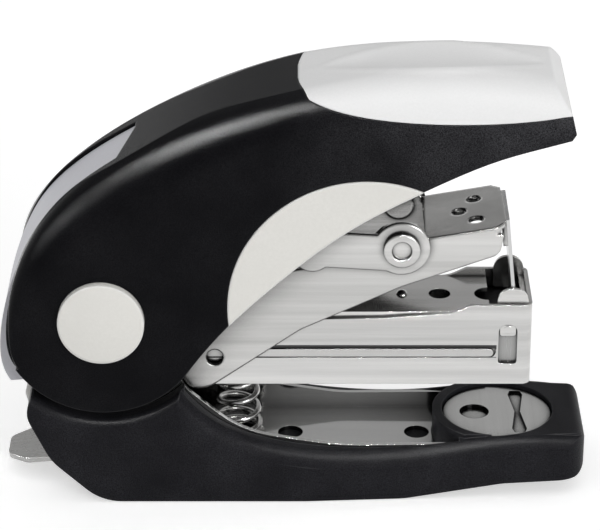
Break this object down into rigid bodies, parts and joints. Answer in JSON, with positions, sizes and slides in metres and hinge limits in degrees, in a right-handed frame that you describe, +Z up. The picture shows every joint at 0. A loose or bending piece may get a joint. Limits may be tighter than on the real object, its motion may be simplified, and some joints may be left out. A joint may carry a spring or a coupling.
{
  "type": "stapler",
  "caption": "Compact half-strip desk stapler: tall curved black handle with white grip pad and trim, bright linked driver arm and magazine, black base with a round anvil.",
  "frame": {"origin": "Centre of the bounding box's underside, on the table plane under the rubber foot pad.", "axes": "+X runs to the stapling end, +Y to the left side seen from the rear, +Z up; the hinge pins lie along Y."},
  "size_m": [0.1011, 0.032, 0.0779],
  "materials": {
    "black_plastic": "satin black moulded plastic with a fine grain",
    "white_plastic": "smooth off-white moulded plastic",
    "soft_pad": "soft off-white grip, slightly satin",
    "bright_steel": "bright nickel-plated sheet steel",
    "plain_steel": "plain zinc-plated steel",
    "spring_steel": "drawn spring wire",
    "dark_plastic": "black moulded plastic",
    "foot_rubber": "matt black rubber sheet"
  },
  "bodies": {
    "base": {"base_shell": "black_plastic", "base_plate": "bright_steel", "anvil_disc": "bright_steel", "base_rear_panel": "white_plastic", "staple_remover": "plain_steel", "foot_pad": "foot_rubber", "base_rivets": "plain_steel", "main_pivot_pin": "plain_steel", "handle_pivot_pin": "plain_steel", "return_spring": "spring_steel"},
    "magazine": {"magazine_channel": "bright_steel", "staple_rail": "plain_steel", "front_guide": "bright_steel", "magazine_cover": "bright_steel", "pusher_rod": "plain_steel", "pusher_spring": "spring_steel"},
    "pusher": {"pusher": "dark_plastic"},
    "arm": {"driver_arm": "bright_steel", "driver_blade": "plain_steel", "link_rivets": "bright_steel"},
    "link": {"link_left": "bright_steel", "link_right": "bright_steel"},
    "handle": {"link_pin": "plain_steel", "handle_shell": "black_plastic", "grip_pad": "soft_pad", "back_panel": "white_plastic", "side_panel_left": "white_plastic", "side_panel_right": "white_plastic", "pivot_cap_left": "white_plastic", "pivot_cap_right": "white_plastic"}
  },
  "joints": [
    {"name": "handle_press", "type": "hinge", "parent": "base", "child": "handle", "pos_m": [-0.0326, 0, 0.035], "axis": [0, 1, 0], "range_deg": [0, 23], "stiffness_Nm_per_rad": 2, "springref_deg": -8.59},
    {"name": "arm_swing", "type": "hinge", "parent": "base", "child": "arm", "pos_m": [-0.03, 0, 0.0245], "axis": [0, 1, 0], "range_deg": [0, 12.67]},
    {"name": "magazine_dip", "type": "hinge", "parent": "base", "child": "magazine", "pos_m": [-0.03, 0, 0.0245], "axis": [0, 1, 0], "range_deg": [0, 6.87], "deforming": ["return_spring"]},
    {"name": "link_swing", "type": "hinge", "parent": "arm", "child": "link", "pos_m": [0.018, 0, 0.0466], "axis": [0, 1, 0], "range_deg": [-7.85, 0]},
    {"name": "pusher_slide", "type": "slide", "parent": "magazine", "child": "pusher", "axis": [-1, 0, 0], "range_m": [0, 0.034], "stiffness_N_per_m": 40, "springref_m": -0.05, "deforming": ["pusher_spring"]}
  ],
  "couplings": [
    {"joint": "arm_swing", "follows": "handle_press", "ratio": 0.5505},
    {"joint": "magazine_dip", "follows": "handle_press", "ratio": 0.2983},
    {"joint": "link_swing", "follows": "handle_press", "ratio": -0.3411}
  ]
}
